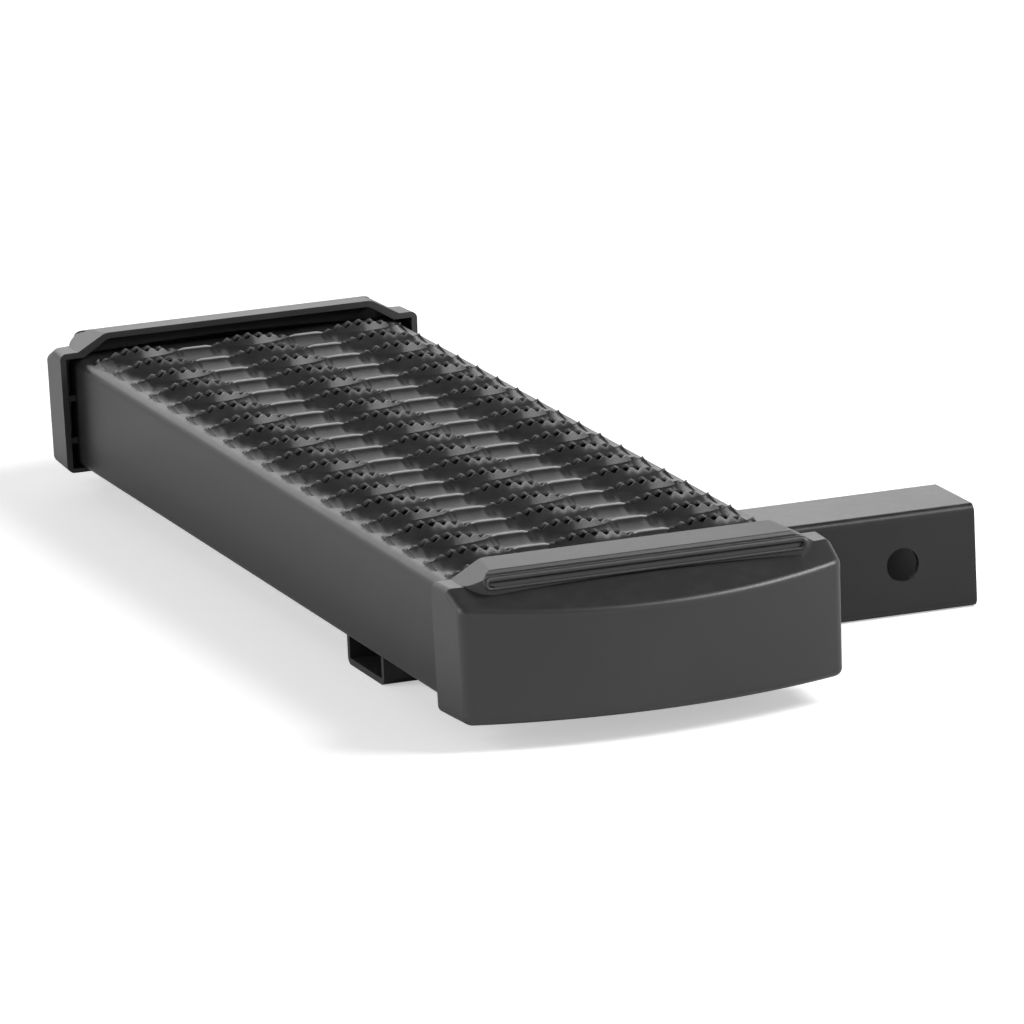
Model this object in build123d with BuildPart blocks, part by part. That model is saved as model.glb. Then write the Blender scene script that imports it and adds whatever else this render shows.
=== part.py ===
from build123d import *
import os

# Hitch receiver step: a serrated steel tread plank across a square shank, with a moulded cap on
# each end. Sizes are millimetres. The origin is the middle of the hitch pin hole, on the shank's
# axis. +X runs along the shank, out of the step and into the receiver. +Y runs along the step.

# Shank
shank_size = 50.8
shank_wall = 3.2
shank_corner = 4.0
shank_length = 304.8
pin_hole_diameter = 16.7
pin_hole_to_end = 38.1

# Tread plank
plank_width = 177.8
plank_height = 56.2
sheet = 2.5
top_bend = 5.5
bottom_bend = 3.5
flange_width = 30.0
shank_end_gap = 0.7
shank_rise = 10.7
notch_clearance = 1.0

# Openings and lips of the tread
column_pitch = 60.325
row_pitch = 28.575
rim_clearance = 8.0
opening_length = 43.0
opening_width = 8.0
lip_thickness = 1.8
tooth_pitch = 6.0
tooth_depth = 2.0
lip_end_height = 2.4
lip_middle_height = 6.8
crest_height = 3.2
crest_width = 2.4

# End caps
rim_span = 548.0
near_rim_to_shank = 129.1
cap_overlap = 12.0
cap_overhang = 7.3
cap_front_overhang = 5.2
cap_taper = 0.9
cap_drop = 2.4
cap_floor = 2.2
cap_wall = 3.0
cap_corner_depth = 31.5
cap_corner_radius = 6.0
cap_edge_radius = 3.5
cap_bottom_radius = 4.0
cap_front_depth = 48.6
shoulder_height = 60.3
slope_drop = 10.8
slope_lean = 13.8
slope_spread = 6.0
pad_rise = 8.5
pad_foot_inset = 1.5
pad_top_inset = 16.5
pad_fall = 1.5
plateau_depth = 19.0
bead_start = 20.2
bead_start_drop = 3.0
bead_end = 26.2
bead_end_drop = 9.5
bead_radius = 6.0
pad_corner_radius = 14.0
pad_side_radius = 8.0
pad_edge_radius = 1.0
locating_rib = 3.0
locating_rib_heights = (14.0, 36.0)
rib_setback = 3.0
fit = 0.2
cut_margin = 1.0

# Mounting angles and their fasteners
angle_thickness = 4.0
angle_leg = 30.0
angle_upright = 25.0
angle_end_gap = 6.0
weld_leg = 3.0
weld_length = 100.0
bolt_inset = 20.0
bolt_from_shank = 17.0
bolt_diameter = 8.0
bolt_head_flats = 13.0
bolt_head_height = 5.3
bolt_hole = 9.0
washer_diameter = 16.0
washer_thickness = 1.6
nut_height = 8.0
nut_collar = 5.0
bolt_tail = 1.8

# Cap screws
cap_screw_inset = 16.0
cap_screw_depth = 6.0
cap_screw_diameter = 4.8
cap_screw_head = 9.5
cap_screw_head_height = 3.2
cap_screw_reach = 10.0
cap_screw_recess = 1.2
cap_screw_recess_length = 5.2

# Places that follow from the sizes above
shank_right = pin_hole_to_end
shank_left = shank_right - shank_length
plank_left = shank_left - shank_end_gap - sheet
plank_right = plank_left + plank_width
plank_middle = (plank_left + plank_right) / 2
plank_bottom = -shank_rise
plank_top = plank_bottom + plank_height
near_rim = -near_rim_to_shank
far_rim = near_rim + rim_span
step_middle = (near_rim + far_rim) / 2
plank_near_end = near_rim - cap_overlap
plank_length = rim_span + 2 * cap_overlap
row_count = int((rim_span - 2 * rim_clearance - opening_width - 2 * lip_thickness) / row_pitch) + 1
first_row = step_middle - (row_count - 1) / 2 * row_pitch
half_shank = shank_size / 2

os.makedirs("parts", exist_ok=True)


def save(piece, name):
    piece.label = name
    export_step(piece, f"parts/{name}.step")


# Hitch shank: square tube, open at both ends, with the pin hole through both sides
with BuildPart() as hitch_shank:
    with BuildSketch(Plane.YZ.offset(shank_left)):
        RectangleRounded(shank_size, shank_size, shank_corner)
        inner_size = shank_size - 2 * shank_wall
        RectangleRounded(inner_size, inner_size, shank_corner - shank_wall, mode=Mode.SUBTRACT)
    extrude(amount=shank_length)
    with BuildSketch(Plane.XZ.offset(half_shank + cut_margin)):
        Circle(pin_hole_diameter / 2)
    extrude(amount=-(shank_size + 2 * cut_margin), mode=Mode.SUBTRACT)
save(hitch_shank.part, "hitch_shank")


def lip_height(x):
    half = opening_length / 2 + lip_thickness
    return lip_end_height + (lip_middle_height - lip_end_height) * (1 - (x / half) ** 2)


def serrated_outline(tips_at_middle):
    # Points along X of the arched edge: a tip and a valley in turn, with plain ends
    half = opening_length / 2 + lip_thickness
    steps = int(half / (tooth_pitch / 2))
    points = [(-half, lip_end_height)]
    for i in range(-steps + 1, steps):
        x = i * tooth_pitch / 2
        is_tip = (i % 2 == 0) == tips_at_middle
        points.append((x, lip_height(x) - (0 if is_tip else tooth_depth)))
    points.append((half, lip_end_height))
    return points


def lip_ring(tips_at_middle):
    # A raised rim around one opening, pointed at both ends, with its teeth on the upper edge
    half = opening_length / 2 + lip_thickness
    width = opening_width / 2 + lip_thickness
    with BuildPart() as ring:
        with BuildSketch(Plane.XY.offset(-sheet / 2)):
            Polygon((-half, 0), (0, -width), (half, 0), (0, width), align=None)
        extrude(amount=lip_middle_height + sheet)
        with BuildSketch(Plane.XZ.offset(width)):
            Polygon((-half, -sheet), *serrated_outline(tips_at_middle), (half, -sheet), align=None)
        extrude(amount=-2 * width, mode=Mode.INTERSECT)
    return ring.part


row_places = [first_row + i * row_pitch for i in range(row_count)]
column_places = [plank_middle + i * column_pitch for i in (-1, 0, 1)]
crest_places = [plank_middle + i * column_pitch for i in (-0.5, 0.5)]
bolt_places_x = (plank_left + bolt_inset, plank_right - bolt_inset)
bolt_offset_y = half_shank + bolt_from_shank
cap_screw_places = [
    (x, y)
    for x in (plank_left + cap_screw_inset, plank_right - cap_screw_inset)
    for y in (near_rim - cap_screw_depth, far_rim + cap_screw_depth)
]

# Tread plank: one folded sheet, open below between two return flanges
with BuildPart() as tread_plank:
    with BuildSketch(Plane.XZ.offset(-plank_near_end)):
        with BuildLine():
            outer = FilletPolyline(
                (plank_left + flange_width, plank_bottom),
                (plank_left, plank_bottom),
                (plank_left, plank_top),
                (plank_right, plank_top),
                (plank_right, plank_bottom),
                (plank_right - flange_width, plank_bottom),
                radius=[bottom_bend, top_bend, top_bend, bottom_bend],
            )
            inner = FilletPolyline(
                (plank_left + flange_width, plank_bottom + sheet),
                (plank_left + sheet, plank_bottom + sheet),
                (plank_left + sheet, plank_top - sheet),
                (plank_right - sheet, plank_top - sheet),
                (plank_right - sheet, plank_bottom + sheet),
                (plank_right - flange_width, plank_bottom + sheet),
                radius=[bottom_bend - sheet, top_bend - sheet, top_bend - sheet, bottom_bend - sheet],
            )
            Line(outer @ 0, inner @ 0)
            Line(outer @ 1, inner @ 1)
        make_face()
    extrude(amount=-plank_length)

    # Raised, serrated rims, with the teeth of every second row set over by half a pitch
    for rows, tips_at_middle in ((row_places[0::2], True), (row_places[1::2], False)):
        with Locations(*[(x, y, plank_top) for x in column_places for y in rows]):
            add(lip_ring(tips_at_middle))

    # A low crest joins the rims across the plain metal between two openings of a row
    with BuildSketch(Plane.XY.offset(plank_top - sheet / 2)):
        with Locations(*[(x, y) for x in crest_places for y in row_places]):
            Rectangle(column_pitch - opening_length, crest_width)
    extrude(amount=sheet / 2 + crest_height)

    # The openings themselves
    with BuildSketch(Plane.XY.offset(plank_top + lip_middle_height + cut_margin)):
        with Locations(*[(x, y) for x in column_places for y in row_places]):
            Polygon(
                (-opening_length / 2, 0),
                (0, -opening_width / 2),
                (opening_length / 2, 0),
                (0, opening_width / 2),
                align=None,
            )
    extrude(amount=-(lip_middle_height + sheet + 2 * cut_margin), mode=Mode.SUBTRACT)

    # The shank passes through the right wall and both flanges, and ends against the left wall
    with BuildSketch(Plane.XY.offset(plank_bottom - cut_margin)):
        with Locations(((plank_left + sheet + plank_right + cut_margin) / 2, 0)):
            Rectangle(plank_width - sheet + cut_margin, shank_size + 2 * notch_clearance)
    extrude(amount=cut_margin + shank_rise + half_shank + notch_clearance, mode=Mode.SUBTRACT)

    # Holes in the return flanges for the mounting bolts and the cap screws
    with BuildSketch(Plane.XY.offset(plank_bottom - cut_margin)):
        with Locations(*[(x, y) for x in bolt_places_x for y in (-bolt_offset_y, bolt_offset_y)]):
            Circle(bolt_hole / 2)
        with Locations(*cap_screw_places):
            Circle(cap_screw_diameter / 2 + fit / 4)
    extrude(amount=sheet + 2 * cut_margin, mode=Mode.SUBTRACT)
save(tread_plank.part, "tread_plank")


def cap_body(inset):
    # The near cap's outer form, or with an inset the hollow inside it: a shell with a bowed front
    # and flat shoulders that slope down to the front, and a raised pad with a bead along its front
    outside = inset == 0
    side = cap_overhang - inset
    front_side = cap_front_overhang - inset
    back_side = side + (side - front_side) * cap_overlap / cap_corner_depth
    rim_y = near_rim if outside else near_rim + cut_margin
    corner_y = near_rim - cap_corner_depth + inset
    front_y = near_rim - cap_front_depth + inset
    floor_z = plank_bottom - (cap_drop if outside else cap_drop - cap_floor)
    shoulder_z = plank_bottom + shoulder_height - inset
    pad_left = plank_left + pad_foot_inset + inset
    pad_right = plank_right - pad_foot_inset - inset
    pad_z = shoulder_z + pad_rise
    with BuildPart() as shell:
        with BuildSketch(Plane.XY.offset(floor_z)) as plan:
            with BuildLine():
                left_corner = (plank_left - front_side, corner_y)
                right_corner = (plank_right + front_side, corner_y)
                Polyline(
                    right_corner,
                    (plank_right + back_side, near_rim + cap_overlap),
                    (plank_left - back_side, near_rim + cap_overlap),
                    left_corner,
                )
                bow = ThreePointArc(left_corner, (plank_middle, front_y), right_corner)
            make_face()
            if outside:
                fillet(plan.vertices().group_by(Axis.Y)[0], cap_corner_radius)
        extrude(amount=shoulder_z - floor_z, taper=-cap_taper)
        with Locations((plank_middle, rim_y, (floor_z + shoulder_z) / 2)):
            Box(
                plank_width + 4 * cap_overhang,
                4 * cap_front_depth,
                2 * shoulder_height,
                align=(Align.CENTER, Align.MAX, Align.CENTER),
                mode=Mode.INTERSECT,
            )

        # The front slope is part of a wide cone, which leans back
        cone_depth = 2 * plank_height
        cone_rise = 2 * slope_drop
        with Locations(Location((plank_middle, front_y, shoulder_z - slope_drop), (slope_lean, 0, 0))):
            with Locations((0, bow.radius, -cone_depth)):
                Cone(
                    bow.radius + cone_depth * slope_spread,
                    bow.radius - cone_rise * slope_spread,
                    cone_depth + cone_rise,
                    align=(Align.CENTER, Align.CENTER, Align.MIN),
                    mode=Mode.INTERSECT,
                )
        if outside:
            tops = shell.faces().filter_by(lambda face: face.normal_at().Z > 0.5)
            upper = [
                edge
                for edge in tops.edges()
                if edge.center().Y < near_rim - cut_margin
                and sum(edge.is_same(other) for face in tops for other in face.edges()) == 1
            ]
            fillet(upper, cap_edge_radius)
            bottom = shell.faces().sort_by(Axis.Z)[0]
            fillet(bottom.edges().filter_by(lambda edge: edge.center().Y < near_rim - cut_margin),
                   cap_bottom_radius)
    with BuildPart() as pad:
        with BuildSketch(Plane.XZ.offset(-rim_y)) as section:
            Polygon(
                (pad_left, floor_z),
                (pad_left, shoulder_z),
                (plank_left + pad_top_inset + inset / 2, pad_z),
                (plank_right - pad_top_inset - inset / 2, pad_z),
                (pad_right, shoulder_z),
                (pad_right, floor_z),
                align=None,
            )
            fillet(section.vertices().group_by(Axis.Y)[-1], pad_side_radius)
        extrude(amount=cap_front_depth)
        with BuildSketch(Plane.YZ.offset(plank_left)):
            with BuildLine():
                bead_top = (near_rim - bead_start + inset, pad_z - bead_start_drop)
                bead_foot = (near_rim - bead_end + inset, pad_z - bead_end_drop)
                plateau = FilletPolyline(
                    (near_rim - bead_end + inset, shoulder_z - slope_drop),
                    (rim_y, shoulder_z - slope_drop),
                    (rim_y, pad_z),
                    (near_rim - plateau_depth + inset, pad_z - pad_fall),
                    bead_top,
                    radius=[0, 0, pad_edge_radius],
                )
                RadiusArc(bead_top, bead_foot, -bead_radius)
                Line(bead_foot, plateau @ 0)
            make_face()
        extrude(amount=plank_width, mode=Mode.INTERSECT)
        with BuildSketch(Plane.XY.offset(floor_z)):
            with BuildLine():
                FilletPolyline(
                    (pad_left, rim_y),
                    (pad_left, near_rim - bead_end + inset),
                    (pad_right, near_rim - bead_end + inset),
                    (pad_right, rim_y),
                    radius=pad_corner_radius - inset,
                )
                Line((pad_left, rim_y), (pad_right, rim_y))
            make_face()
        extrude(amount=2 * shoulder_height, mode=Mode.INTERSECT)
    with BuildPart() as body:
        add(shell.part)
        add(pad.part)
    return body.part


# Near end cap: hollow, slipped over the plank's end and held by two screws through its floor
with BuildPart() as near_end_cap:
    add(cap_body(0))
    add(cap_body(cap_wall), mode=Mode.SUBTRACT)

    # Ribs inside the walls bear on the plank's sides
    rib_centre_y = near_rim - (rib_setback + cap_overlap) / 2
    rib_offset = (cap_front_overhang + fit) / 2
    rib_x = (plank_left - rib_offset, plank_right + rib_offset)
    rib_z = [plank_bottom + height for height in locating_rib_heights]
    with Locations(*[(x, rib_centre_y, z) for x in rib_x for z in rib_z]):
        Box(cap_front_overhang - fit, cap_overlap - rib_setback, locating_rib)

    # Room for the plank itself
    with BuildSketch(Plane.XZ.offset(-near_rim - cut_margin)):
        with Locations((plank_middle, plank_bottom + plank_height / 2)):
            RectangleRounded(plank_width + 2 * fit, plank_height + 2 * fit, bottom_bend)
    extrude(amount=cut_margin + cap_overlap + fit, mode=Mode.SUBTRACT)

    # Screw holes in the floor
    with BuildSketch(Plane.XY.offset(plank_bottom - cap_drop - cut_margin)):
        with Locations(*[(x, y) for x, y in cap_screw_places if y < step_middle]):
            Circle(cap_screw_diameter / 2 + fit)
    extrude(amount=cap_drop + cut_margin, mode=Mode.SUBTRACT)
save(near_end_cap.part, "near_end_cap")

# Far end cap: the mirror image, on the other end
with BuildPart() as far_end_cap:
    mirror(near_end_cap.part, about=Plane.XZ.offset(-step_middle))
save(far_end_cap.part, "far_end_cap")

# Mounting angles: one along each side of the shank, on top of the return flanges
angle_length = plank_width - 2 * angle_end_gap
with BuildPart() as near_mounting_angle:
    with BuildSketch(Plane.YZ.offset(plank_left + angle_end_gap)):
        with BuildLine():
            Polyline(
                (-half_shank, plank_bottom + sheet),
                (-half_shank, plank_bottom + sheet + angle_upright),
                (-half_shank - angle_thickness, plank_bottom + sheet + angle_upright),
                (-half_shank - angle_thickness, plank_bottom + sheet + angle_thickness),
                (-half_shank - angle_leg, plank_bottom + sheet + angle_thickness),
                (-half_shank - angle_leg, plank_bottom + sheet),
                close=True,
            )
        make_face()
    extrude(amount=angle_length)
    inside_corner = near_mounting_angle.edges().filter_by(Axis.X).sort_by_distance(
        (plank_middle, -half_shank - angle_thickness, plank_bottom + sheet + angle_thickness)
    )[0]
    fillet(inside_corner, angle_thickness)
    with BuildSketch(Plane.XY.offset(plank_bottom + sheet - cut_margin)):
        with Locations(*[(x, -bolt_offset_y) for x in bolt_places_x]):
            Circle(bolt_hole / 2)
    extrude(amount=angle_thickness + 2 * cut_margin, mode=Mode.SUBTRACT)
save(near_mounting_angle.part, "near_mounting_angle")

with BuildPart() as far_mounting_angle:
    mirror(near_mounting_angle.part, about=Plane.XZ)
save(far_mounting_angle.part, "far_mounting_angle")


def weld_bead(side, foot_z, rise):
    # A triangular fillet weld along the shank's side, from the angle's edge up or down
    with BuildPart() as bead:
        with BuildSketch(Plane.YZ.offset(plank_middle - weld_length / 2)):
            Polygon(
                (side * half_shank, foot_z),
                (side * (half_shank + weld_leg), foot_z),
                (side * half_shank, foot_z + rise),
                align=None,
            )
        extrude(amount=weld_length)
    return bead.part


for place, side in (("near", -1), ("far", 1)):
    save(weld_bead(side, plank_bottom + sheet + angle_upright, weld_leg), f"{place}_upper_weld")
    save(weld_bead(side, plank_bottom + sheet, -weld_leg), f"{place}_lower_weld")


# Mounting bolts: heads and washers below the flanges, washers and lock nuts above the angles
grip_bottom = plank_bottom - washer_thickness
grip_top = plank_bottom + sheet + angle_thickness + washer_thickness


def fastener_places(side):
    return [(x, side * bolt_offset_y) for x in bolt_places_x]


def bolts(places):
    with BuildPart() as group:
        with BuildSketch(Plane.XY.offset(grip_bottom - bolt_head_height)):
            with Locations(*places):
                RegularPolygon(bolt_head_flats / 2, 6, major_radius=False)
        extrude(amount=bolt_head_height)
        with BuildSketch(Plane.XY.offset(grip_bottom)):
            with Locations(*places):
                Circle(bolt_diameter / 2)
        extrude(amount=grip_top - grip_bottom + nut_height + bolt_tail)
    return group.part


def washers(places, z):
    with BuildPart() as group:
        with BuildSketch(Plane.XY.offset(z)):
            with Locations(*places):
                Circle(washer_diameter / 2)
                Circle(bolt_diameter / 2 + fit, mode=Mode.SUBTRACT)
        extrude(amount=washer_thickness)
    return group.part


def lock_nuts(places):
    with BuildPart() as group:
        with BuildSketch(Plane.XY.offset(grip_top)):
            with Locations(*places):
                RegularPolygon(bolt_head_flats / 2, 6, major_radius=False)
        extrude(amount=nut_collar)
        with BuildSketch(Plane.XY.offset(grip_top + nut_collar)):
            with Locations(*places):
                Circle(bolt_head_flats / 2 - fit)
        extrude(amount=nut_height - nut_collar)
        with BuildSketch(Plane.XY.offset(grip_top)):
            with Locations(*places):
                Circle(bolt_diameter / 2 + fit / 4)
        extrude(amount=nut_height, mode=Mode.SUBTRACT)
    return group.part


for place, side in (("near", -1), ("far", 1)):
    save(bolts(fastener_places(side)), f"{place}_mounting_bolts")
    save(washers(fastener_places(side), grip_bottom), f"{place}_bolt_washers")
    save(washers(fastener_places(side), grip_top - washer_thickness), f"{place}_nut_washers")
    save(lock_nuts(fastener_places(side)), f"{place}_lock_nuts")


def cap_screws(places):
    # Pan head screws, each with a cross recess, up through the cap's floor into the flange
    floor_z = plank_bottom - cap_drop
    with BuildPart() as group:
        with BuildSketch(Plane.XY.offset(floor_z - cap_screw_head_height)):
            with Locations(*places):
                Circle(cap_screw_head / 2)
        extrude(amount=cap_screw_head_height)
        chamfer(group.faces().filter_by(Plane.XY).group_by(Axis.Z)[0].edges(), cap_screw_head_height / 4)
        with BuildSketch(Plane.XY.offset(floor_z)):
            with Locations(*places):
                Circle(cap_screw_diameter / 2)
        extrude(amount=cap_screw_reach)
        chamfer(group.faces().filter_by(Plane.XY).group_by(Axis.Z)[-1].edges(), cap_screw_diameter / 4)
        with BuildSketch(Plane.XY.offset(floor_z - cap_screw_head_height)):
            with Locations(*places):
                Rectangle(cap_screw_recess_length, cap_screw_recess)
                Rectangle(cap_screw_recess, cap_screw_recess_length)
        extrude(amount=cap_screw_head_height / 2, mode=Mode.SUBTRACT)
    return group.part


save(cap_screws([p for p in cap_screw_places if p[1] < step_middle]), "near_cap_screws")
save(cap_screws([p for p in cap_screw_places if p[1] > step_middle]), "far_cap_screws")
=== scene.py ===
import math

import bpy
import numpy as np
from bpy.props import (
    FloatProperty,
    FloatVectorProperty,
    IntProperty,
    PointerProperty,
)
from mathutils import Matrix, Vector


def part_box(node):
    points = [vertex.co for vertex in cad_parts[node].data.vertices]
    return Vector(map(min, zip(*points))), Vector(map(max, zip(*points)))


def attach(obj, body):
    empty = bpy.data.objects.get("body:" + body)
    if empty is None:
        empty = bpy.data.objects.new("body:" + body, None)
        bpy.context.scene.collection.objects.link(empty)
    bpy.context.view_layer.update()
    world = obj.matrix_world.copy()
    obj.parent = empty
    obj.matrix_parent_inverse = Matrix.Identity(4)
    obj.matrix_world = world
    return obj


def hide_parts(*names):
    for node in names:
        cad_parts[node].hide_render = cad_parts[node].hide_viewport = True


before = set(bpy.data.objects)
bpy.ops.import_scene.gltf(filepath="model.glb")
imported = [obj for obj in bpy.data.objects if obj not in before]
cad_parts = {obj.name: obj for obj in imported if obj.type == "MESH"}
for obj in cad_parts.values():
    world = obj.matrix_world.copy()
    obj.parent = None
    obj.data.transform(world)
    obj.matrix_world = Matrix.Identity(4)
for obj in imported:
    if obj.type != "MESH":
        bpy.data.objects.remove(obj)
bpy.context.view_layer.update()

bl_info = {
    "name": "Hitch receiver step",
    "version": (1, 0, 0),
    "blender": (4, 5, 0),
    "location": "View3D > Sidebar > Hitch step",
    "description": "Serrated tread, end caps, shank and studio stage of a hitch receiver step",
    "category": "Object",
}

MM = 0.001
PLANK_LOW, PLANK_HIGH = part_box("tread_plank")
SHANK_LOW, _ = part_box("hitch_shank")
NEAR_CAP_LOW, NEAR_CAP_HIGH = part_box("near_end_cap")
_, FAR_CAP_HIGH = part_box("far_end_cap")
STEEL_NODES = [
    "hitch_shank",
    "near_mounting_angle",
    "far_mounting_angle",
    "near_upper_weld",
    "near_lower_weld",
    "far_upper_weld",
    "far_lower_weld",
]
CAP_NODES = ["near_end_cap", "far_end_cap"]
ZINC_NODES = [
    "near_mounting_bolts",
    "far_mounting_bolts",
    "near_bolt_washers",
    "far_bolt_washers",
    "near_nut_washers",
    "far_nut_washers",
    "near_lock_nuts",
    "far_lock_nuts",
    "near_cap_screws",
    "far_cap_screws",
]


class StepTreadSettings(bpy.types.PropertyGroup):
    """Sizes of the tread's openings and teeth, in millimetres."""

    row_pitch: FloatProperty(
        name="Row pitch",
        description="Distance from one row of openings to the next",
        default=28.575,
    )
    row_count: IntProperty(name="Rows", description="How many rows of openings", default=19)
    column_pitch: FloatProperty(
        name="Column pitch", description="Distance between openings of one row", default=60.325
    )
    opening_length: FloatProperty(
        name="Opening length", description="Length of an opening across the step", default=43.0
    )
    opening_width: FloatProperty(
        name="Opening width", description="Widest part of an opening along the step", default=8.0
    )
    tooth_pitch: FloatProperty(
        name="Tooth pitch", description="Distance between teeth", default=6.0
    )
    tooth_depth: FloatProperty(name="Tooth depth", description="Height of a tooth", default=1.6)
    lip_end: FloatProperty(
        name="Lip end height", description="Lip at an opening's ends", default=3.2
    )
    outer_end: FloatProperty(
        name="Outer end height",
        description="Lip at the ends beside the plank's bends",
        default=1.5,
    )
    lip_middle: FloatProperty(
        name="Lip middle height",
        description="Lip at an opening's middle, at the tips",
        default=6.8,
    )
    crest: FloatProperty(
        name="Crest height", description="Ridge between two openings of a row", default=3.8
    )
    tail_height: FloatProperty(
        name="Tail height", description="Height where a near ramp turns gentle", default=2.9
    )
    tail_length: FloatProperty(
        name="Tail length",
        description="From a lip to the foot of its ramp, on the near side",
        default=11.5,
    )
    thickness: FloatProperty(name="Sheet", description="Thickness of the sheet", default=2.0)
    top_bend: FloatProperty(
        name="Top bend", description="Outer radius of the top bends", default=5.5
    )
    bottom_bend: FloatProperty(
        name="Bottom bend", description="Outer radius of the bottom bends", default=3.5
    )
    flange: FloatProperty(
        name="Flange", description="Width of the return flanges", default=30.0
    )
    notch: FloatProperty(
        name="Notch",
        description="Half width of the cut-out that the shank passes through",
        default=26.4,
    )


class StepCapSettings(bpy.types.PropertyGroup):
    """Sizes of the raised ring on the end caps' pads, in millimetres."""

    front_depth: FloatProperty(
        name="Front depth", description="From a cap's rim to the middle of its front", default=48.6
    )
    bead_depth: FloatProperty(
        name="Bead depth",
        description="From the rim to the axis of the pad's rounded front",
        default=20.2,
    )
    bead_drop: FloatProperty(
        name="Bead drop", description="From the pad's top down to that axis", default=9.0
    )
    bead_radius: FloatProperty(
        name="Bead radius", description="Radius of that rounding", default=6.0
    )
    ring_length: FloatProperty(
        name="Ring length", description="Length of the raised ring", default=159.0
    )
    ring_top: FloatProperty(
        name="Ring top",
        description="Angle of the ring's upper side above the axis",
        default=math.radians(50),
        subtype="ANGLE",
    )
    ring_foot: FloatProperty(
        name="Ring foot",
        description="Angle of the ring's lower side above the axis",
        default=math.radians(3),
        subtype="ANGLE",
    )


class StepFinishSettings(bpy.types.PropertyGroup):
    """Colours and sheen of the object's finishes."""

    coat_colour: FloatVectorProperty(
        name="Powder coat",
        description="Colour of the coated steel",
        default=(0.02, 0.02, 0.021),
        size=3,
        subtype="COLOR",
        min=0,
        max=1,
    )
    coat_roughness: FloatProperty(
        name="Coat roughness",
        description="Roughness of the powder coat",
        default=0.36,
        min=0,
        max=1,
    )
    # Painted highlight: a light colour laid along crests and tooth tips in place of the light that
    # their edges catch
    highlight_colour: FloatVectorProperty(
        name="Highlighted edges",
        description="Colour of the coat along crests and teeth",
        default=(0.4, 0.4, 0.4),
        size=3,
        subtype="COLOR",
        min=0,
        max=1,
    )
    # How sharply that painted highlight falls off away from the edge
    highlight_sharpness: FloatProperty(
        name="Highlight sharpness",
        description="How quickly the rubbed colour ends beside an edge",
        default=1.8,
    )
    plastic_colour: FloatVectorProperty(
        name="Moulded caps",
        description="Colour of the end caps",
        default=(0.022, 0.022, 0.023),
        size=3,
        subtype="COLOR",
        min=0,
        max=1,
    )
    plastic_roughness: FloatProperty(
        name="Cap roughness", description="Roughness of the end caps", default=0.4, min=0, max=1
    )
    zinc_colour: FloatVectorProperty(
        name="Zinc plating",
        description="Colour of the bolts and washers",
        default=(0.55, 0.56, 0.57),
        size=3,
        subtype="COLOR",
        min=0,
        max=1,
    )


class StepStageSettings(bpy.types.PropertyGroup):
    """Floor, lamps and camera."""

    floor_colour: FloatVectorProperty(
        name="Floor",
        description="Colour of the floor",
        default=(0.86, 0.86, 0.86),
        size=3,
        subtype="COLOR",
        min=0,
        max=1,
    )
    floor_gap: FloatProperty(
        name="Floor gap",
        description="Hair's breadth between the shank and the floor",
        default=0.0002,
        unit="LENGTH",
    )
    floor_lift: FloatProperty(
        name="Floor lift",
        description="White that the camera sees on the floor, over its lit colour",
        default=0.45,
    )
    key_power: FloatProperty(
        name="Key light", description="Power of the key light", default=60.0, unit="POWER"
    )
    back_power: FloatProperty(
        name="Back light",
        description="Power of the light behind the step",
        default=30.0,
        unit="POWER",
    )
    lens: FloatProperty(name="Lens", description="Focal length of the camera", default=360.03)


def settings(name):
    """The scene's settings of one kind: tread, cap, finish or stage."""
    return getattr(bpy.context.scene, "hitch_step_" + name)


# Shape of the tread sheet, in millimetres and degrees

HAIR = 0.01  # less than this counts as nothing
BOTTOM_BEND_STEPS, TOP_BEND_STEPS = 4, 6
FLANGE_COLUMN = 14.0  # from the wall's outer side to the flange's middle column
WALL_COLUMN = 10.0  # height of a wall's lowest column
BRIDGE_COLUMNS = (-0.72, -0.45, 0, 0.45, 0.72)  # shares of half the bridge between openings
OUTER_COLUMN = 0.8  # from an outer opening's end to the column beside it
END_LINE = 6.0  # from the sheet's end to its first plain line
OFF_THE_TOP = 99  # distance past the openings of what isn't on the top

GAP_FULLNESS = 0.7  # how much fuller an opening is than one with straight sides
CREST_RISE = 2.7  # length over which a lip's end rises to the crest
OUTER_FADE = 2.5  # length over which the lifting dies away past the outer openings
TOOTH_FADE = 3.5  # length over which the teeth grow from an opening's ends

NEAR_LIP_TILTS = (60, 50)  # tilts of the near lips, on even and on odd rows
FAR_LIP_TILT = 52
NEAR_CREST_TILT, FAR_CREST_TILT = 76, 24
CREST_LAND = 0.3  # half width of a crest's level top
TAIL_SHARE = 0.85  # most that a gentle foot may rise, as a share of the lip's height
KINK_SHARE = 0.85  # height at which a ramp turns gentle, as a share of its foot's rise
LEAST_RAMP = 0.7  # least length of a ramp
FOOT_STRETCH, FOOT_MARGIN = 1.05, 0.2  # a foot lies a little past the end of its ramp
ROOM_MARGIN = 1.2  # level sheet between the feet of two rows
EDGE_STEPS = (0.15, 0.4)  # least and most from a toothed edge to the line behind it
CREST_STEP = 0.35  # the same at a crest
KINK_STEP, FOOT_STEP = 0.25, 0.2  # least steps to the two lines that follow
LAST_STEP = 0.4  # from a ramp's foot to the last line of its row

TIP_HIGHLIGHT, CREST_HIGHLIGHT = 0.45, 1.0  # most painted highlight on a tooth's tip and on a crest, in place of light caught on those edges
HIGHLIGHT_FROM = 1  # height above which a crest gets the painted highlight
RIM_SWELL = 0.35  # how far a cut edge bulges, which rounds it
PLANK_SHARP_ANGLE = 40  # an edge that turns by more is shaded sharp


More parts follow.
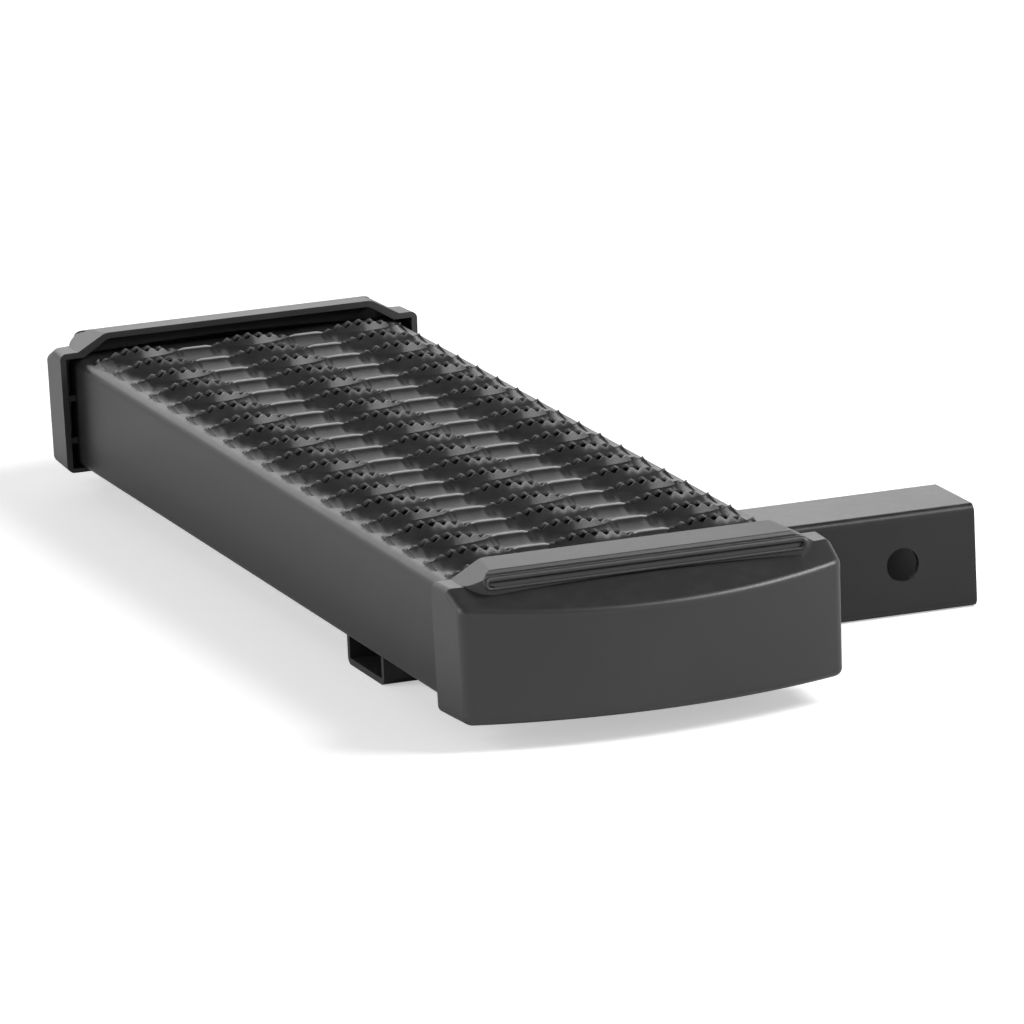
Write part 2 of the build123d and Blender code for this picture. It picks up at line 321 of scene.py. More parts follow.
def channel_columns(s):
    """The folded channel's section as rows of (x, z, normal x, normal z).

    It starts at the left flange's free edge and runs round the left wall, the top and the right
    wall to the right flange's free edge. Bends are circular arcs. Also gives the middle's x.
    """
    left, right = PLANK_LOW.x / MM, PLANK_HIGH.x / MM
    bottom = PLANK_LOW.z / MM
    top = PLANK_HIGH.z / MM - s.lip_middle
    middle = (left + right) / 2

    def arc(cx, cz, radius, start, end, count):
        angle = np.radians(np.linspace(start, end, count + 1))[1:]
        c, n = np.cos(angle), np.sin(angle)
        return np.stack([cx + radius * c, cz + radius * n, c, n], 1)

    half = (right - left) / 2
    low_bend, high_bend = half - s.bottom_bend, half - s.top_bend
    flange = [[x, bottom, 0.0, -1.0] for x in (half - s.flange, half - FLANGE_COLUMN, low_bend)]
    wall = [[half, z, 1.0, 0.0] for z in (WALL_COLUMN, s.notch, top - s.top_bend)]
    side = np.concatenate([
        flange,
        arc(low_bend, bottom + s.bottom_bend, s.bottom_bend, -90, 0, BOTTOM_BEND_STEPS),
        wall,
        arc(high_bend, top - s.top_bend, s.top_bend, 0, 90, TOP_BEND_STEPS),
    ])
    mirrored = side * np.array([-1, 1, -1, 1.0])

    reach = s.opening_length / 2
    whole = math.floor(reach)
    inside = np.concatenate([[-reach], np.arange(-whole, whole + 1), [reach]])
    bridge = (s.column_pitch - s.opening_length) / 2
    over_bridge = np.array(BRIDGE_COLUMNS) * bridge
    edge = s.column_pitch + reach
    x = [inside + k * s.column_pitch for k in (-1, 0, 1)]
    x += [over_bridge + k * s.column_pitch for k in (-0.5, 0.5)]
    x += [np.array([-edge - OUTER_COLUMN, edge + OUTER_COLUMN])]
    x = np.sort(np.concatenate(x))
    flat = np.stack([x, np.full(x.size, top), np.zeros(x.size), np.ones(x.size)], 1)
    columns = np.concatenate([mirrored, flat, side[::-1]])
    columns[:, 0] += middle
    return columns, middle


def past_openings(s, across, nx, nz):
    """Which columns are on the top, and how far past the outer openings each lies.

    On the flat that is the plain distance, a bend adds its arc, and a column off the top is far.
    """
    on_top = nz > HAIR
    half_flat = (PLANK_HIGH.x - PLANK_LOW.x) / MM / 2 - s.top_bend
    angle = np.arctan2(np.abs(nx), np.maximum(nz, 1e-9))
    on_flat = np.clip(np.abs(across) - (s.column_pitch + s.opening_length / 2), 0, None)
    on_bend = half_flat - s.column_pitch - s.opening_length / 2 + angle * s.top_bend
    outward = np.where(angle > HAIR, on_bend, on_flat)
    return on_top, np.where(on_top, outward, OFF_THE_TOP)


def row_shape(s, x, outward, tips_at_middle):
    """How one row of openings lifts the sheet, for each column of the section.

    x is counted from the plank's middle line. Inside an opening the half gap falls from the middle
    to nothing at its ends, a little fuller than a straight line, and the lip's height follows a
    parabola, which ends lower beside the plank's bends. Between two openings the height rises
    smoothly to a level crest. outward is the distance past the outer openings, over which the
    height dies away. A tooth is a cosine wave, faded out at the opening's ends.
    """
    reach = s.opening_length / 2
    local = (x + s.column_pitch * 1.5) % s.column_pitch - s.column_pitch / 2
    beyond = np.abs(x) > s.column_pitch + reach
    share = np.clip(np.abs(local) / reach, 0, None)
    in_opening = (share < 1) & ~beyond
    half_gap = s.opening_width / 2 * (1 - share) * (1 + GAP_FULLNESS * share)
    gap = np.where(in_opening, half_gap, 0)
    end = np.where(np.abs(x) > s.column_pitch, s.outer_end, s.lip_end)
    arch = end + (s.lip_middle - end) * np.clip(1 - share**2, 0, None)
    rise = np.clip((np.abs(local) - reach) / CREST_RISE, 0, 1)
    level = s.lip_end + (s.crest - s.lip_end) * rise * rise * (3 - 2 * rise)
    fade = np.clip(1 - outward / OUTER_FADE, 0, 1)
    height = np.where(in_opening, arch, np.where(beyond, s.outer_end * fade * fade, level))
    wave = 0.5 - 0.5 * np.cos(2 * math.pi * local / s.tooth_pitch)
    if not tips_at_middle:
        wave = 1 - wave
    grown = np.clip((1 - share) * reach / TOOTH_FADE, 0, 1)
    tooth = np.where(in_opening, wave * s.tooth_depth * grown, 0)
    return gap, height, tooth, in_opening


def lip_profile(distance, height, slope, land, tail, foot):
    """Height of the sheet at a distance from the lip's edge line: level over the land, then a
    straight fall at the given slope, and from the tail's height on a gentle fall to the foot."""
    steep = height - slope * np.clip(distance - land, 0, None)
    gentle = tail * (1 - distance / foot)
    return np.clip(np.maximum(steep, gentle), 0, None)


def row_side(s, across, on_top, outward, row, y, sign):
    """The five lines on one side of a row at y, from its edge outwards.

    They are the edge, the line just behind it, the one where the ramp turns gentle, the ramp's
    foot and a last one just past it. Between two tips the edge stands back, down its ramp, by the
    depth of a tooth. Each line is its y, its lift, where it is a cut edge, where the inner side
    follows the ramp, and how much painted highlight it carries.
    """
    gap, height, tooth, in_opening = row_shape(s, across, outward, row % 2 == 0)
    in_opening = in_opening & on_top
    gap, tooth, height = (np.where(on_top, part, 0) for part in (gap, tooth, height))
    land = np.where(in_opening, 0, CREST_LAND)

    def slope_of(lip_tilt, crest_tilt):
        return np.tan(np.radians(np.where(in_opening, lip_tilt, crest_tilt)))

    def kink_of(slope, tail):
        return np.maximum(land + (height - KINK_SHARE * tail) / slope, LEAST_RAMP)

    def foot_of(kink):
        return kink * FOOT_STRETCH + FOOT_MARGIN

    far_slope = slope_of(FAR_LIP_TILT, FAR_CREST_TILT)
    if sign < 0:
        slope = slope_of(NEAR_LIP_TILTS[row % 2], NEAR_CREST_TILT)
        tail = np.minimum(TAIL_SHARE * height, s.tail_height)
    else:
        slope, tail = far_slope, np.zeros(across.size)
    kink = kink_of(slope, tail)
    room = s.row_pitch - 2 * gap - foot_of(kink_of(far_slope, 0)) - ROOM_MARGIN
    foot = np.where(tail > HAIR, np.minimum(s.tail_length, room), foot_of(kink))

    retreat = tooth / slope
    behind = np.where(in_opening, np.clip((kink - retreat) / 2, *EDGE_STEPS), CREST_STEP)
    turning = np.maximum(kink, retreat + behind + KINK_STEP)
    ending = np.maximum(foot, turning + FOOT_STEP)
    distances = (retreat, retreat + behind, turning, ending, ending + LAST_STEP)

    # Painted highlight: tooth tips and crests get a lighter colour in place of light caught on
    # their edges, and lines further down the ramp get none
    tip = TIP_HIGHLIGHT * (1 - tooth / s.tooth_depth)
    crest = np.where(on_top & (height > HIGHLIGHT_FROM), CREST_HIGHLIGHT, 0)
    unhighlighted = np.zeros(across.size)
    highlights = (np.where(in_opening, tip, crest), np.where(in_opening, 0, crest)) + 3 * (unhighlighted,)

    lines = []
    for order, distance in enumerate(distances):
        lift = lip_profile(distance, height, slope, land, tail, foot)
        is_edge = in_opening & (order == 0)
        lines.append((y + sign * (gap + distance), lift, is_edge, in_opening * 1.0, highlights[order]))
    return lines


def tread_lines(s, across, on_top, outward):
    """All lines of the grid across the plank, in strands from one row's edge to the next row's.

    The first and last strand begin and end with two plain lines. Gives the lines' five parts as
    arrays, and the strands as (first line, one past the last line).
    """
    start, end = PLANK_LOW.y / MM, PLANK_HIGH.y / MM
    rows = (start + end) / 2 + s.row_pitch * (np.arange(s.row_count) - (s.row_count - 1) / 2)
    level = np.zeros(across.size)

    def plain(y):
        return (np.full(across.size, y), level, level > 0, level, level)

    def side(row, sign):
        return row_side(s, across, on_top, outward, row, rows[row], sign)

    lines, strands = [], []
    for strand in range(s.row_count + 1):
        first = len(lines)
        lines += side(strand - 1, 1) if strand > 0 else [plain(start), plain(start + END_LINE)]
        if strand < s.row_count:
            lines += side(strand, -1)[::-1]
        else:
            lines += [plain(end - END_LINE), plain(end)]
        strands.append((first, len(lines)))
    return [np.array(part) for part in zip(*lines)], strands


def lines_on_notch(s, y, below):
    """Shifts the lines smoothly on the walls and flanges, so that two lie on the notch's edges."""
    start, end = PLANK_LOW.y / MM, PLANK_HIGH.y / MM
    known, wanted = [start], [start]
    for edge in (-s.notch, s.notch):
        nearest = y[np.abs(y[:, 0] - edge).argmin(), 0]
        known += [nearest - s.row_pitch / 2, nearest, nearest + s.row_pitch / 2]
        wanted += [nearest - s.row_pitch / 2, edge, nearest + s.row_pitch / 2]
    y[:, below] = np.interp(y[:, below], known + [end], wanted + [end])


def unit(vectors):
    """The vectors divided by their lengths."""
    return vectors / np.maximum(np.linalg.norm(vectors, axis=-1, keepdims=True), 1e-9)


def tread_surface(s):
    """Outer side of the whole folded sheet as one grid of points, cut open at the openings.

    Lines of the grid run across the plank, bunched at each row's lips, and columns run along it.
    A point is its place on the section, lifted along the section's normal. Two strands share their
    points between the openings. Returns points, quads, offset directions to the inner side, how
    far the cut edges bulge, and how much painted highlight each point carries.
    """
    columns, middle = channel_columns(s)
    x, z, nx, nz = columns.T
    across = x - middle
    on_top, outward = past_openings(s, across, nx, nz)
    (y, lift, is_edge, follow, highlight), strands = tread_lines(s, across, on_top, outward)
    lines_on_notch(s, y, z <= s.notch + HAIR)

    points = np.stack([x + lift * nx, y, z + lift * nz], 2)
    ids = np.arange(y.size).reshape(y.shape)
    for (_, last), (first, _) in zip(strands[:-1], strands[1:]):
        shut = ~is_edge[first]
        ids[first, shut] = ids[last - 1, shut]
    quads = []
    for first, last in strands:
        here, ahead = ids[first:last - 1], ids[first + 1:last]
        corners = [here[:, :-1], here[:, 1:], ahead[:, 1:], ahead[:, :-1]]
        quads.append(np.stack(corners, 2).reshape(-1, 4))
    quads = np.concatenate(quads)

    # The notch for the shank goes through the right wall and both flanges
    flat_points = points.reshape(-1, 3)
    centre = flat_points[quads].mean(1)
    at_shank = np.abs(centre[:, 1]) < s.notch - HAIR
    right_side = (centre[:, 0] > middle) & (centre[:, 2] < s.notch)
    left_flange = (centre[:, 0] < middle) & (centre[:, 2] < PLANK_LOW.z / MM + HAIR)
    quads = quads[~(at_shank & (right_side | left_flange))]

    # The inner side lies along the section's normal, and in the openings along the surface's own
    corner = flat_points[quads]
    face = np.cross(corner[:, 2] - corner[:, 0], corner[:, 3] - corner[:, 1])
    normals = np.zeros_like(flat_points)
    for i in range(4):
        np.add.at(normals, quads[:, i], face)
    base = np.stack([nx, np.zeros(nx.size), nz], 1)
    base = np.broadcast_to(base, points.shape).reshape(-1, 3)
    inward = base + (unit(normals) - base) * follow.reshape(-1, 1)
    inward /= -np.linalg.norm(inward, axis=1, keepdims=True)

    bulge = np.zeros_like(points)
    for first, last in strands:
        for line, inner in ((first, first + 1), (last - 1, last - 2)):
            step = unit(points[line] - points[inner])
            bulge[line] = np.where(is_edge[line][:, None], step, 0)
    return flat_points, quads, inward, bulge.reshape(-1, 3), highlight.ravel()


def thicken(points, quads, inward, bulge, highlight, thickness, swell):
    """A closed body from one surface: the inner side lies a thickness along the given directions,
    and every open edge gets a rim whose middle line stands out by a little, so that it is round.
    Returns points, quads and each point's painted highlight, which is nothing on the inner side."""
    used, quads = np.unique(quads, return_inverse=True)
    quads = quads.reshape(-1, 4)
    points, inward, bulge, highlight = points[used], inward[used], bulge[used], highlight[used]
    n = len(points)
    inner = points + inward * thickness
    a = quads.ravel()
    b = np.roll(quads, -1, axis=1).ravel()
    keys = np.minimum(a, b).astype(np.int64) * n + np.maximum(a, b)
    _, where, times = np.unique(keys, return_index=True, return_counts=True)
    where = where[times == 1]
    a, b = a[where], b[where]
    rim = np.unique(np.concatenate([a, b]))
    place = np.zeros(n, np.int64)
    place[rim] = np.arange(rim.size) + 2 * n
    middle = (points[rim] + inner[rim]) / 2 + bulge[rim] * swell
    faces = np.concatenate([
        quads,
        quads[:, ::-1] + n,
        np.stack([b, a, place[a], place[b]], 1),
        np.stack([place[b], place[a], a + n, b + n], 1),
    ])
    highlight = np.concatenate([highlight, highlight * 0, highlight[rim]])
    return np.concatenate([points, inner, middle]), faces, highlight


def mesh_piece(name, points, faces, sharp_degrees, material):
    """Puts points in millimetres and quads into a new mesh object at the origin."""
    mesh = bpy.data.meshes.new(name)
    mesh.from_pydata((points * MM).tolist(), [], faces.tolist())
    mesh.validate()
    piece = bpy.data.objects.new(name, mesh)
    bpy.context.scene.collection.objects.link(piece)
    mesh.materials.append(material)
    mesh.polygons.foreach_set("use_smooth", np.ones(len(mesh.polygons), bool))
    mesh.set_sharp_from_angle(angle=math.radians(sharp_degrees))
    mesh.update()
    return piece


# Shape of the caps' rings, in millimetres

RING_SIDE_POINTS, RING_TURN_POINTS, RING_SECTION_POINTS = 41, 13, 12
RING_HALF_WIDTH, RING_HEIGHT = 1.25, 1.0  # of the ring's section at its round ends
WIDTH_CHANGE, HEIGHT_CHANGE = 0.45, 0.25  # added on the upper side, taken off the lower side
RING_SHARP_ANGLE = 80


def cap_ring(s, rim, outward, top):
    """A raised ring on the rounded front of a cap's pad, as a closed tube of points and quads.

    Its path is a long loop, two straight sides joined by half circles, laid on a cylinder along the
    cap: one coordinate runs along the cap and the other along the cylinder's arc. The section is an
    ellipse standing on the cylinder, broad on the upper side and narrow on the lower side.
    """
    middle = (PLANK_LOW.x + PLANK_HIGH.x) / 2 / MM
    half_height = s.bead_radius * (s.ring_top - s.ring_foot) / 2
    half_straight = s.ring_length / 2 - half_height
    along = np.linspace(-half_straight, half_straight, RING_SIDE_POINTS)
    turn = np.linspace(-math.pi / 2, math.pi / 2, RING_TURN_POINTS)[1:-1]
    cosine, sine, side = np.cos(turn), np.sin(turn), np.ones(RING_SIDE_POINTS)
    ends = half_straight + half_height * cosine
    u = np.concatenate([along, ends, along[::-1], -ends])
    normal_u = np.concatenate([side * 0, cosine, side * 0, -cosine])
    normal_v = np.concatenate([-side, sine, side, -sine])
    v = half_height * normal_v

    wide = (RING_HALF_WIDTH - WIDTH_CHANGE * normal_v)[:, None]
    high = (RING_HEIGHT - HEIGHT_CHANGE * normal_v)[:, None]
    phase = np.linspace(0, 2 * math.pi, RING_SECTION_POINTS, endpoint=False)[None, :]
    u = u[:, None] + wide * np.cos(phase) * normal_u[:, None]
    v = v[:, None] + wide * np.cos(phase) * normal_v[:, None]
    angle = (s.ring_top + s.ring_foot) / 2 - v / s.bead_radius
    radius = s.bead_radius + high * np.sin(phase)
    depth = s.bead_depth + radius * np.cos(angle)
    height = top - s.bead_drop + radius * np.sin(angle)
    points = np.stack([middle + u, rim + outward * depth, height], 2)

    ids = np.arange(angle.size).reshape(angle.shape)
    ahead, beside = np.roll(ids, -1, 0), np.roll(ids, -1, 1)
    quads = np.stack([ids, ahead, np.roll(ahead, -1, 1), beside], 2).reshape(-1, 4)
    if outward > 0:
        quads = quads[:, ::-1]
    return points.reshape(-1, 3), quads


# Finishes

MOTTLE_DARK, MOTTLE_LIGHT = 0.85, 1.15  # darkest and lightest share of a finish's colour
ROUGHNESS_CHANGE = 0.04
COARSE_SCALE, COARSE_SHARE = 0.2, 0.3  # the coarse grain against the fine grain
COAT = {
    "metallic": 0.0,
    "specular": 0.33,
    "grain_scale": 700.0,
    "grain_depth": 0.00003,
    "dust": 0.05,
    "lighten": 0.3,
}
PLASTIC = {
    "metallic": 0.0,
    "specular": 0.6,
    "grain_scale": 1400.0,
    "grain_depth": 0.00002,
    "dust": 0.03,
    "lighten": 0.3,
}
ZINC = {
    "roughness": 0.35,
    "metallic": 1.0,
    "specular": 0.5,
    "grain_scale": 900.0,
    "grain_depth": 0.00001,
    "dust": 0.1,
    "lighten": 0.1,
}


def add_node(tree, kind, place, sockets=None, **values):
    """A new node. values set its properties, and each of the sockets is linked to another node's
    output or set to a value."""
    node = tree.nodes.new(kind)
    node.location = place
    for key, value in values.items():
        setattr(node, key, value)
    for name, value in (sockets or {}).items():
        if isinstance(value, bpy.types.NodeSocket):
            tree.links.new(value, node.inputs[name])
        else:
            node.inputs[name].default_value = value
    return node


def noise(tree, place, vector, scale, detail):
    """Noise from 0 to 1 at the given scale."""
    sockets = {"Vector": vector, "Scale": scale, "Detail": detail}
    return add_node(tree, "ShaderNodeTexNoise", place, sockets).outputs["Fac"]


def calculate(tree, operation, place, *values):
    """The result of a Math node on numbers or other nodes' outputs."""
    sockets = dict(enumerate(values))
    return add_node(tree, "ShaderNodeMath", place, sockets, operation=operation).outputs[0]


def map_range(tree, value, place, **limits):
    """A value mapped from one range to another. Limits left out are 0 and 1."""
    sockets = {name.replace("_", " ").title(): limit for name, limit in limits.items()}
    return add_node(tree, "ShaderNodeMapRange", place, {"Value": value, **sockets}).outputs[0]


def mix(tree, kind, place, factor, a, b):
    """The result of a Mix node, from a at factor 0 to b at factor 1."""
    sockets = {"Factor": factor, "A": a, "B": b}
    return add_node(tree, "ShaderNodeMix", place, sockets, data_type=kind).outputs["Result"]


def add_group(tree, group, place, sockets):
    """A node that places a node group in a material."""
    return add_node(tree, "ShaderNodeGroup", place, sockets, node_tree=group)


def new_group(name, inputs, outputs):
    """A new node group with the given sockets, as name and kind, and its input and output node."""
    tree = bpy.data.node_groups.new(name, "ShaderNodeTree")
    for in_out, sockets in (("INPUT", inputs), ("OUTPUT", outputs)):
        for socket, kind in sockets.items():
            tree.interface.new_socket(socket, in_out=in_out, socket_type="NodeSocket" + kind)
    start = add_node(tree, "NodeGroupInput", (-800, 0))
    end = add_node(tree, "NodeGroupOutput", (400, 0))
    return tree, start, end


def surface_grain_group():
    """Node group: fine and broad unevenness of a coated or moulded surface.

    Height is noise at the grain's scale plus three tenths of noise at a fifth of it. Mottle is
    slow noise, for small changes of colour and sheen.
    """
    name = "surface grain"
    if name in bpy.data.node_groups:
        return bpy.data.node_groups[name]
    inputs = {"Vector": "Vector", "Grain scale": "Float"}
    tree, start, end = new_group(name, inputs, {"Height": "Float", "Mottle": "Float"})
    vector, scale = start.outputs["Vector"], start.outputs["Grain scale"]
    coarse_scale = calculate(tree, "MULTIPLY", (-600, -100), scale, COARSE_SCALE)
    fine = noise(tree, (-400, 200), vector, scale, detail=3.0)
    coarse = noise(tree, (-400, -100), vector, coarse_scale, detail=2.0)
    total = calculate(tree, "MULTIPLY_ADD", (-100, 100), coarse, COARSE_SHARE, fine)
    mottle = noise(tree, (-400, -350), vector, scale=14.0, detail=4.0)
    tree.links.new(total, end.inputs["Height"])
    tree.links.new(mottle, end.inputs["Mottle"])
    return tree


def dust_group():
    """Node group: a light settling of dust, more on faces that look up, broken by noise."""
    name = "settled dust"
    if name in bpy.data.node_groups:
        return bpy.data.node_groups[name]
    tree, start, end = new_group(name, {"Vector": "Vector"}, {"Mask": "Float"})
    geometry = add_node(tree, "ShaderNodeNewGeometry", (-800, -200))
    normal = geometry.outputs["Normal"]
    split = add_node(tree, "ShaderNodeSeparateXYZ", (-600, -200), {"Vector": normal})
    up = map_range(tree, split.outputs["Z"], (-400, -200), from_min=0.3)
    specks = noise(tree, (-600, 100), start.outputs["Vector"], scale=120.0, detail=6.0)
    keep = map_range(tree, specks, (-400, 100), from_min=0.42, from_max=0.72)
    tree.links.new(calculate(tree, "MULTIPLY", (-100, 0), up, keep), end.inputs["Mask"])
    return tree


def finish_material(
    name, colour, roughness, metallic, specular, grain_scale, grain_depth, dust, lighten
):
    """A satin finish: colour mottled a little and dusted, roughness that varies, fine grain.

    dust is the share of the settled dust that shows, and lighten how much lighter it is.
    """
    material = bpy.data.materials.new(name)
    material.use_nodes = True
    tree = material.node_tree
    shader = tree.nodes["Principled BSDF"]
    vector = add_node(tree, "ShaderNodeTexCoord", (-1200, 0)).outputs["Object"]
    grain = add_group(
        tree, surface_grain_group(), (-900, -200), {"Vector": vector, "Grain scale": grain_scale}
    )
    settled = add_group(tree, dust_group(), (-900, 200), {"Vector": vector})

    ramp = add_node(tree, "ShaderNodeValToRGB", (-650, 100), {"Fac": grain.outputs["Mottle"]})
    dark, light = ramp.color_ramp.elements
    dark.position, light.position = 0.3, 0.7
    dark.color = (*[c * MOTTLE_DARK for c in colour], 1)
    light.color = (*[c * MOTTLE_LIGHT for c in colour], 1)
    amount = calculate(tree, "MULTIPLY", (-650, 350), settled.outputs["Mask"], dust)
    dusty = (*[min(1, c + lighten) for c in colour], 1)
    mixed = mix(tree, "RGBA", (-350, 200), amount, ramp.outputs["Color"], dusty)
    tree.links.new(mixed, shader.inputs["Base Color"])

    limits = {"to_min": roughness - ROUGHNESS_CHANGE, "to_max": roughness + ROUGHNESS_CHANGE}
    sheen = map_range(tree, grain.outputs["Mottle"], (-350, -50), **limits)
    tree.links.new(sheen, shader.inputs["Roughness"])
    relief = {"Strength": 1.0, "Distance": grain_depth, "Height": grain.outputs["Height"]}
    bump = add_node(tree, "ShaderNodeBump", (-350, -350), relief)
    tree.links.new(bump.outputs["Normal"], shader.inputs["Normal"])
    shader.inputs["Metallic"].default_value = metallic
    shader.inputs["Specular IOR Level"].default_value = specular
    return material


def powder_coat(name):
    """The satin coat of all the steel, under the given name."""
    s = settings("finish")
    return finish_material(name, s.coat_colour, s.coat_roughness, **COAT)


def coat_with_painted_highlights():
    """The powder coat with painted highlights: lighter along crests and tooth tips, as the
    per-point highlight attribute says.
    """
    s = settings("finish")
    material = powder_coat("satin black powder coat with rubbed edges")
    tree = material.node_tree
    base = tree.nodes["Principled BSDF"].inputs["Base Color"]
    highlight = add_node(tree, "ShaderNodeAttribute", (-650, 600), attribute_name="edge_highlight")
    highlight_strength = calculate(tree, "POWER", (-450, 600), highlight.outputs["Fac"], s.highlight_sharpness)
    coat, highlighted = base.links[0].from_socket, (*s.highlight_colour, 1)
    tree.links.new(mix(tree, "RGBA", (-150, 400), highlight_strength, coat, highlighted), base)
    return material


def dress(names, material):
    """Gives CAD nodes one material and one slot."""
    for name in names:
        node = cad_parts[name]
        node.data.materials.clear()
        node.data.materials.append(material)


# Stage

FLOOR_REACH = 30.0
FLOOR_ROUGHNESS = 0.9
FILL_SHARE = 0.25  # the left fill's power, as a share of the key light's
SENSOR_WIDTH = 36.0
CAMERA_PLACE = (-1.8158, -4.4507, 1.1901)
CAMERA_ANGLES = (-20.0727, 13.5907, 2.4958)  # yaw, downward pitch and roll, in degrees


def area_lamp(name, place, aim, size, power):
    """A rectangular lamp that looks from its place at its aim, which the camera doesn't see."""
    lamp = bpy.data.lights.new(name, "AREA")
    lamp.shape = "RECTANGLE"
    lamp.size, lamp.size_y = size
    lamp.energy = power
    holder = bpy.data.objects.new(name, lamp)
    bpy.context.scene.collection.objects.link(holder)
    holder.location = place
    holder.rotation_euler = (Vector(aim) - Vector(place)).to_track_quat("-Z", "Y").to_euler()
    holder.visible_camera = False


def seen_ray(tree):
    """One for rays from the camera, straight or through something clear, else nothing."""
    rays = add_node(tree, "ShaderNodeLightPath", (-700, 300)).outputs
    straight, through = rays["Is Camera Ray"], rays["Is Transmission Ray"]
    return calculate(tree, "MAXIMUM", (-450, 300), straight, through)


def lay_floor(s):
    """A wide pale sheet just under the shank, lifted to white for the camera alone."""
    z = SHANK_LOW.z - s.floor_gap
    signs = ((-1, -1), (1, -1), (1, 1), (-1, 1))
    mesh = bpy.data.meshes.new("floor")
    corners = [(i * FLOOR_REACH, j * FLOOR_REACH, z) for i, j in signs]
    mesh.from_pydata(corners, [], [(0, 1, 2, 3)])
    floor = bpy.data.objects.new("floor", mesh)
    bpy.context.scene.collection.objects.link(floor)
    paint = bpy.data.materials.new("pale floor")
    paint.use_nodes = True
    tree = paint.node_tree
    shader = tree.nodes["Principled BSDF"]
    shader.inputs["Base Color"].default_value = (*s.floor_colour, 1)
    shader.inputs["Roughness"].default_value = FLOOR_ROUGHNESS
    shader.inputs["Specular IOR Level"].default_value = 0.0
    shader.inputs["Emission Color"].default_value = (1, 1, 1, 1)
    lift = calculate(tree, "MULTIPLY", (-250, -100), seen_ray(tree), s.floor_lift)
    tree.links.new(lift, shader.inputs["Emission Strength"])
    mesh.materials.append(paint)


def surround():
    """A world that is bright towards the horizon, dim overhead and white for the camera."""
    world = bpy.data.worlds.new("surroundings")
    bpy.context.scene.world = world
    world.use_nodes = True
    tree = world.node_tree
    background = tree.nodes["Background"]
    direction = add_node(tree, "ShaderNodeTexCoord", (-1100, -100)).outputs["Generated"]
    split = add_node(tree, "ShaderNodeSeparateXYZ", (-900, -100), {"Vector": direction})
    limits = {"from_min": 0.3, "from_max": 0.6, "to_min": 1.0, "to_max": 0.12}
    horizon = map_range(tree, split.outputs["Z"], (-650, -100), **limits)
    strength = mix(tree, "FLOAT", (-250, 100), seen_ray(tree), horizon, 1.0)
    background.inputs["Color"].default_value = (1, 1, 1, 1)
    tree.links.new(strength, background.inputs["Strength"])


def set_camera(s):
    """The photograph's view: a long lens that looks down on the near end from the left."""
    scene = bpy.context.scene
    camera = bpy.data.cameras.new("camera")
    camera.lens = s.lens
    camera.sensor_width = SENSOR_WIDTH
    holder = bpy.data.objects.new("camera", camera)
    scene.collection.objects.link(holder)
    yaw, pitch, roll = (math.radians(angle) for angle in CAMERA_ANGLES)
    ahead = math.cos(pitch)
    forward = Vector((-math.sin(yaw) * ahead, math.cos(yaw) * ahead, -math.sin(pitch)))
    level = Vector((math.cos(yaw), math.sin(yaw), 0))
    down = forward.cross(level)
    right = level * math.cos(roll) + down * math.sin(roll)
    under = down * math.cos(roll) - level * math.sin(roll)
    turn = Matrix((right, -under, -forward)).transposed().to_4x4()
    holder.matrix_world = Matrix.Translation(CAMERA_PLACE) @ turn
    scene.camera = holder


# Operators


class HITCHSTEP_OT_tread(bpy.types.Operator):
    """Build the folded tread plank with its serrated openings"""

    bl_idname = "hitch_step.tread"
    bl_label = "Tread plank"

    def execute(self, context):
        s = settings("tread")
        points, faces, highlight = thicken(*tread_surface(s), s.thickness, RIM_SWELL)
        plank = mesh_piece(
            "serrated_tread_plank", points, faces, PLANK_SHARP_ANGLE, coat_with_painted_highlights()
        )
        # The per-point attribute carries the painted highlight along crests and tooth tips
        plank.data.attributes.new("edge_highlight", "FLOAT", "POINT").data.foreach_set("value", highlight)
        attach(plank, "root")
        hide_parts("tread_plank")
        return {"FINISHED"}


class HITCHSTEP_OT_steel(bpy.types.Operator):
    """Give the shank, the angles and the weld beads their powder coat"""

    bl_idname = "hitch_step.steel"
    bl_label = "Shank and angles"

    def execute(self, context):
        dress(STEEL_NODES, powder_coat("satin black powder coat"))
        return {"FINISHED"}


class HITCHSTEP_OT_caps(bpy.types.Operator):
    """Give the end caps their moulded black plastic and the raised rings on their pads"""

    bl_idname = "hitch_step.caps"
    bl_label = "End caps"

    def execute(self, context):
        s = settings("finish")
        plastic = finish_material(
            "moulded black plastic", s.plastic_colour, s.plastic_roughness, **PLASTIC
        )
        dress(CAP_NODES, plastic)
        s = settings("cap")
        top = NEAR_CAP_HIGH.z / MM
        near_rim = NEAR_CAP_LOW.y / MM + s.front_depth
        far_rim = FAR_CAP_HIGH.y / MM - s.front_depth
        for name, rim, outward in (("near_cap_ring", near_rim, -1), ("far_cap_ring", far_rim, 1)):
            points, faces = cap_ring(s, rim, outward, top)
            ring = mesh_piece(name, points, faces, RING_SHARP_ANGLE, plastic)
            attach(ring, "root")
        return {"FINISHED"}


class HITCHSTEP_OT_fasteners(bpy.types.Operator):
    """Give the bolts, washers, nuts and cap screws their zinc plating"""

    bl_idname = "hitch_step.fasteners"
    bl_label = "Fasteners"

    def execute(self, context):
        s = settings("finish")
        zinc = finish_material("zinc plating", s.zinc_colour, **ZINC)
        dress(ZINC_NODES, zinc)
        return {"FINISHED"}


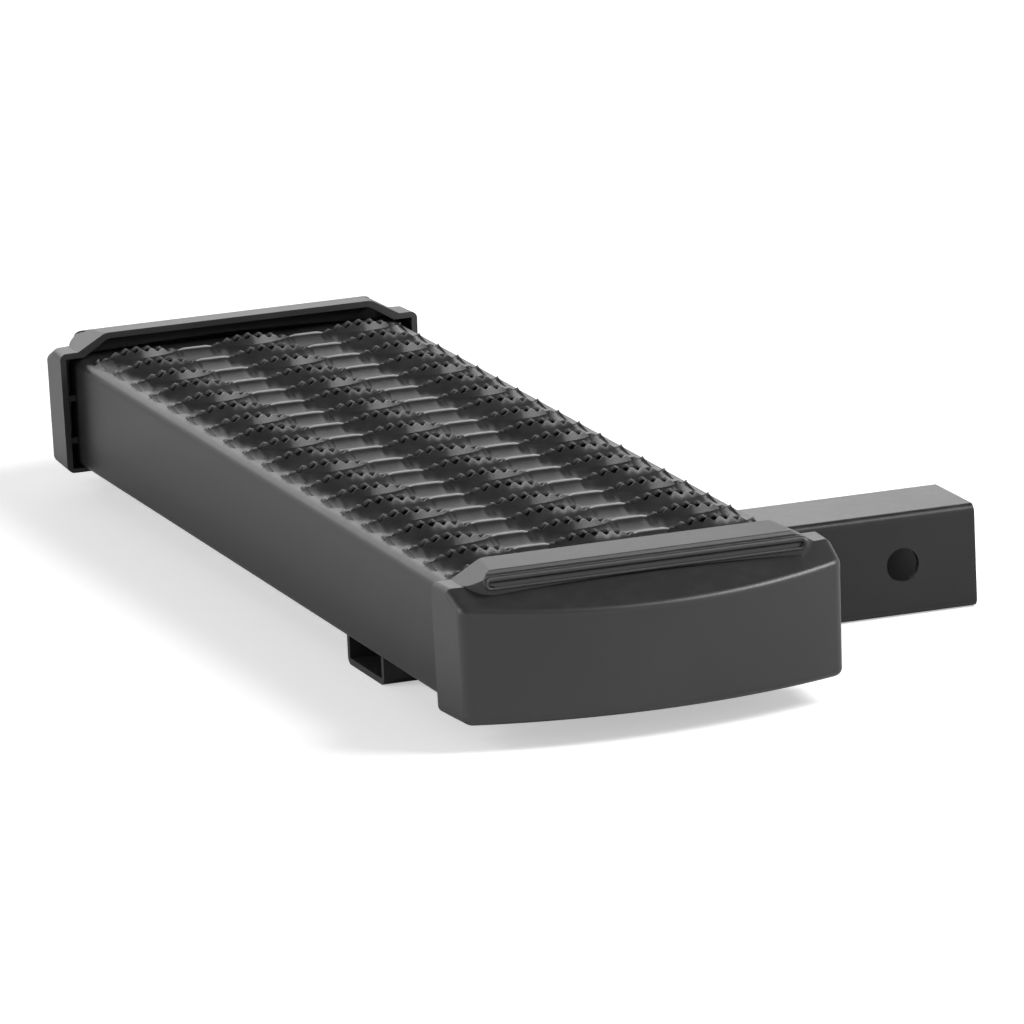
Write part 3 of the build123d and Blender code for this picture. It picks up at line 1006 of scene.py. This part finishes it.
class HITCHSTEP_OT_stage(bpy.types.Operator):
    """Set the pale floor, the lamps, the surroundings and the camera"""

    bl_idname = "hitch_step.stage"
    bl_label = "Stage"

    def execute(self, context):
        s = settings("stage")
        lay_floor(s)
        fill = s.key_power * FILL_SHARE
        area_lamp("key softbox", (1.5, -0.9, 1.9), (0, 0.1, 0), (1.2, 1.2), s.key_power)
        area_lamp("left fill", (-2.2, 0.4, 0.9), (-0.1, 0.1, 0), (0.8, 1.6), fill)
        area_lamp("back softbox", (0.3, 4.0, 1.5), (0, 0.1, 0), (4.0, 1.0), s.back_power)
        surround()
        set_camera(s)
        context.scene.view_settings.view_transform = "Standard"
        return {"FINISHED"}


class HITCHSTEP_PT_panel(bpy.types.Panel):
    """Lists the pieces of the hitch step"""

    bl_idname = "HITCHSTEP_PT_panel"
    bl_label = "Hitch receiver step"
    bl_space_type = "VIEW_3D"
    bl_region_type = "UI"
    bl_category = "Hitch step"

    def draw(self, context):
        for operator in OPERATORS:
            self.layout.operator(operator.bl_idname)


SETTINGS = {
    "tread": StepTreadSettings,
    "cap": StepCapSettings,
    "finish": StepFinishSettings,
    "stage": StepStageSettings,
}
OPERATORS = (
    HITCHSTEP_OT_tread,
    HITCHSTEP_OT_steel,
    HITCHSTEP_OT_caps,
    HITCHSTEP_OT_fasteners,
    HITCHSTEP_OT_stage,
)


def register():
    for group in SETTINGS.values():
        bpy.utils.register_class(group)
    for name, group in SETTINGS.items():
        setattr(bpy.types.Scene, "hitch_step_" + name, PointerProperty(type=group))
    for operator in OPERATORS:
        bpy.utils.register_class(operator)
    bpy.utils.register_class(HITCHSTEP_PT_panel)


def unregister():
    bpy.utils.unregister_class(HITCHSTEP_PT_panel)
    for operator in reversed(OPERATORS):
        bpy.utils.unregister_class(operator)
    for name in SETTINGS:
        delattr(bpy.types.Scene, "hitch_step_" + name)
    for group in SETTINGS.values():
        bpy.utils.unregister_class(group)


def main():
    register()
    bpy.ops.hitch_step.tread()
    bpy.ops.hitch_step.steel()
    bpy.ops.hitch_step.caps()
    bpy.ops.hitch_step.fasteners()
    bpy.ops.hitch_step.stage()


if __name__ == "__main__":
    main()
